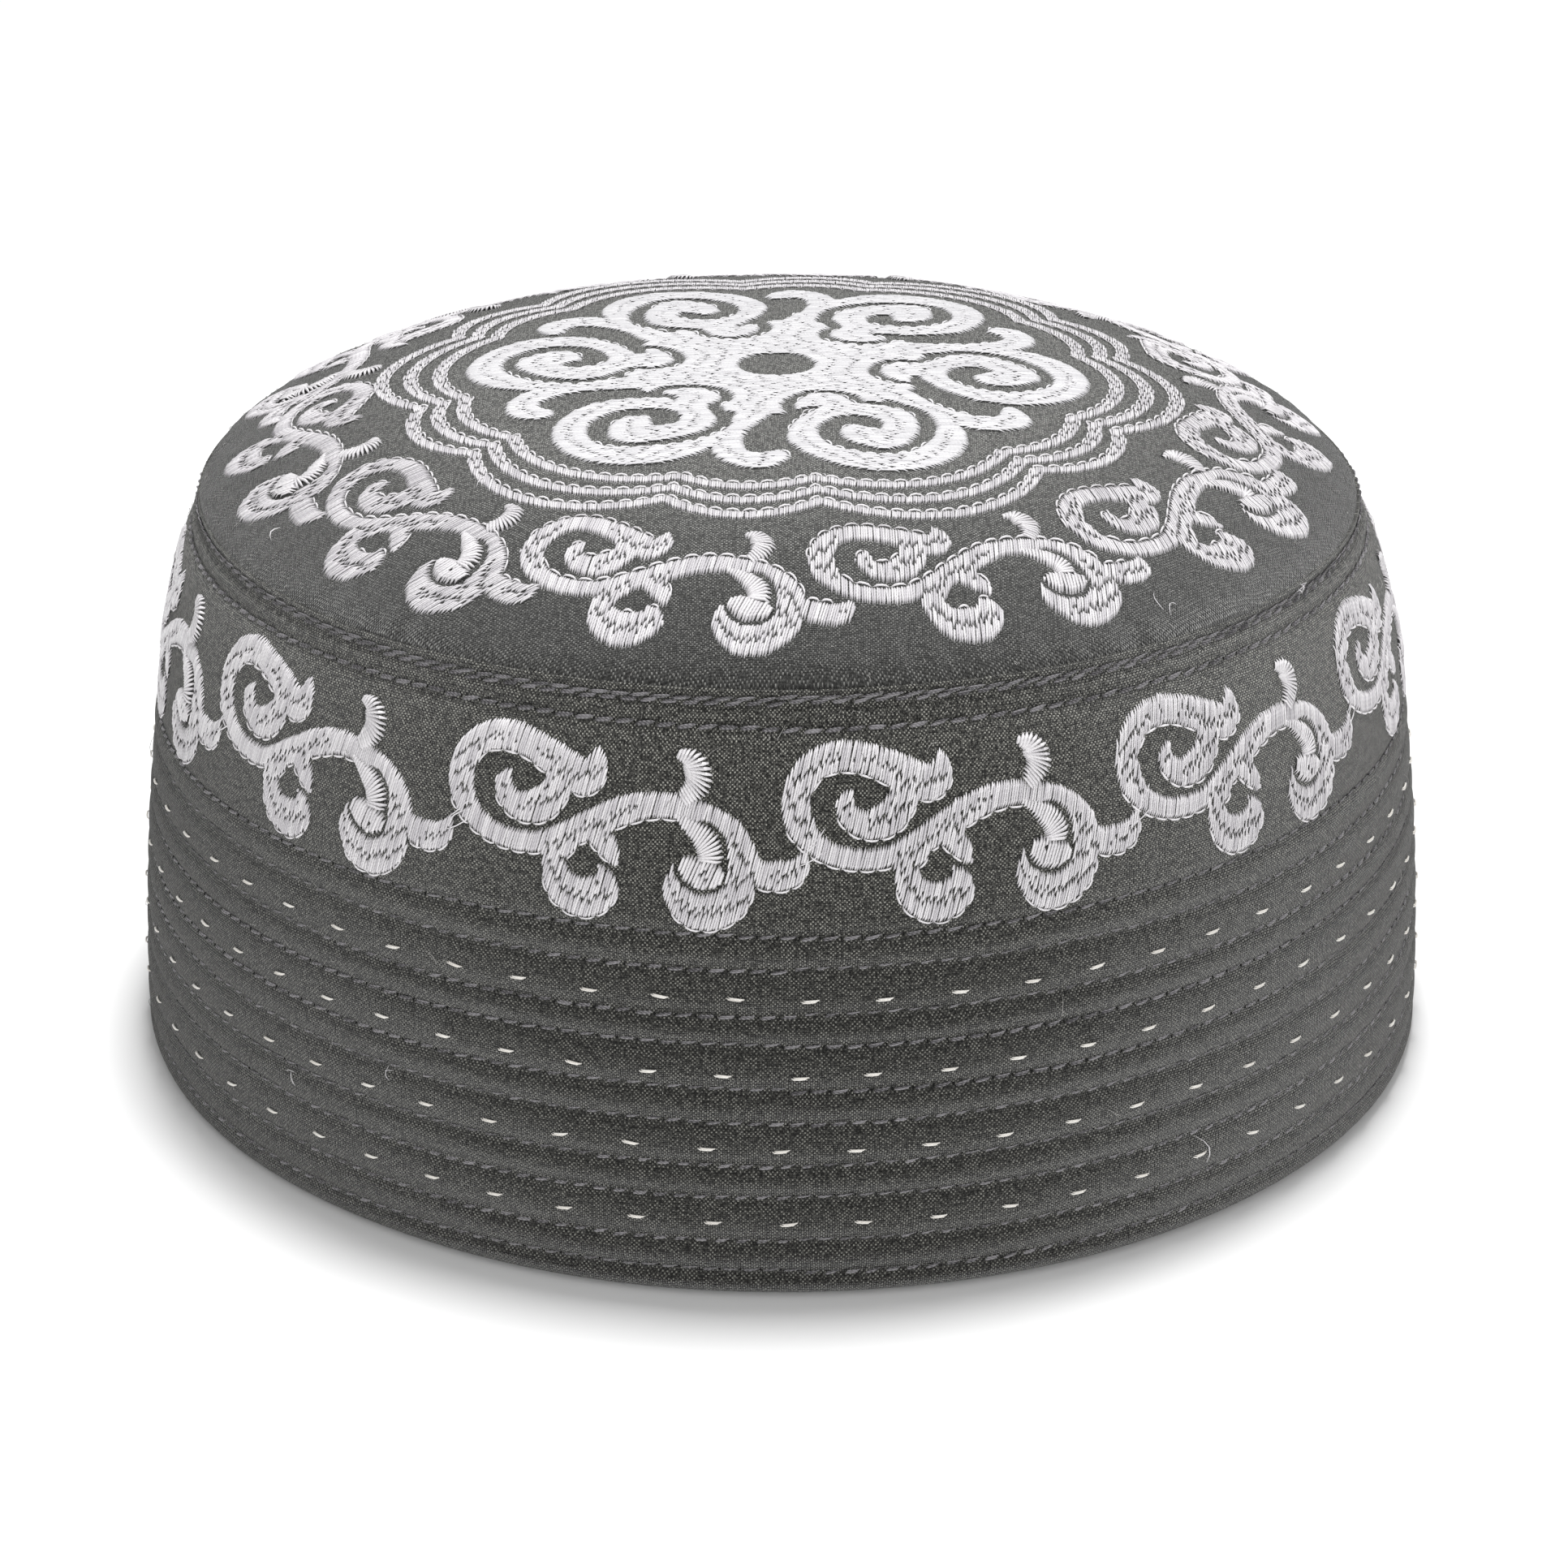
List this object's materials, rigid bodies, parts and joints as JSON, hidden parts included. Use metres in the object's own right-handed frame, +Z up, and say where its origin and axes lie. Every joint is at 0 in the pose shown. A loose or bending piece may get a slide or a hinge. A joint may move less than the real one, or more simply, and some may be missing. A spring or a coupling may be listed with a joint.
{
  "type": "prayer cap",
  "caption": "Round brimless cloth cap with a quilted side band, a soft domed crown and raised thread scrollwork on both, open underneath.",
  "frame": {"origin": "middle of the rim, on the surface that the cap rests on", "axes": "+Z up along the cap's axis through the middle of the crown, -Y towards the front of the cap"},
  "size_m": [0.1832, 0.1832, 0.0951],
  "materials": {
    "band_cloth": "matt plain-weave dark charcoal cotton, quilted",
    "crown_cloth": "matt plain-weave dark charcoal cotton",
    "silver_thread": "silver-lilac embroidery thread with a soft sheen",
    "white_thread": "white embroidery thread with a soft sheen"
  },
  "bodies": {
    "root": {"side_band": "band_cloth", "crown_panel": "crown_cloth", "rosette": "white_thread", "scallop_line_inner": "silver_thread", "scallop_line_middle": "silver_thread", "scallop_line_outer": "silver_thread", "band_scroll_1": "silver_thread", "band_scroll_2": "silver_thread", "band_scroll_3": "silver_thread", "band_scroll_4": "silver_thread", "band_scroll_5": "silver_thread", "band_scroll_6": "silver_thread", "band_scroll_7": "silver_thread", "band_scroll_8": "silver_thread", "band_scroll_9": "silver_thread", "band_scroll_10": "silver_thread", "band_scroll_11": "silver_thread", "band_scroll_12": "silver_thread", "crown_scroll_1": "silver_thread", "crown_scroll_2": "silver_thread", "crown_scroll_3": "silver_thread", "crown_scroll_4": "silver_thread", "crown_scroll_5": "silver_thread", "crown_scroll_6": "silver_thread", "crown_scroll_7": "silver_thread", "crown_scroll_8": "silver_thread", "crown_scroll_9": "silver_thread", "crown_scroll_10": "silver_thread", "crown_scroll_11": "silver_thread"}
  },
  "joints": []
}
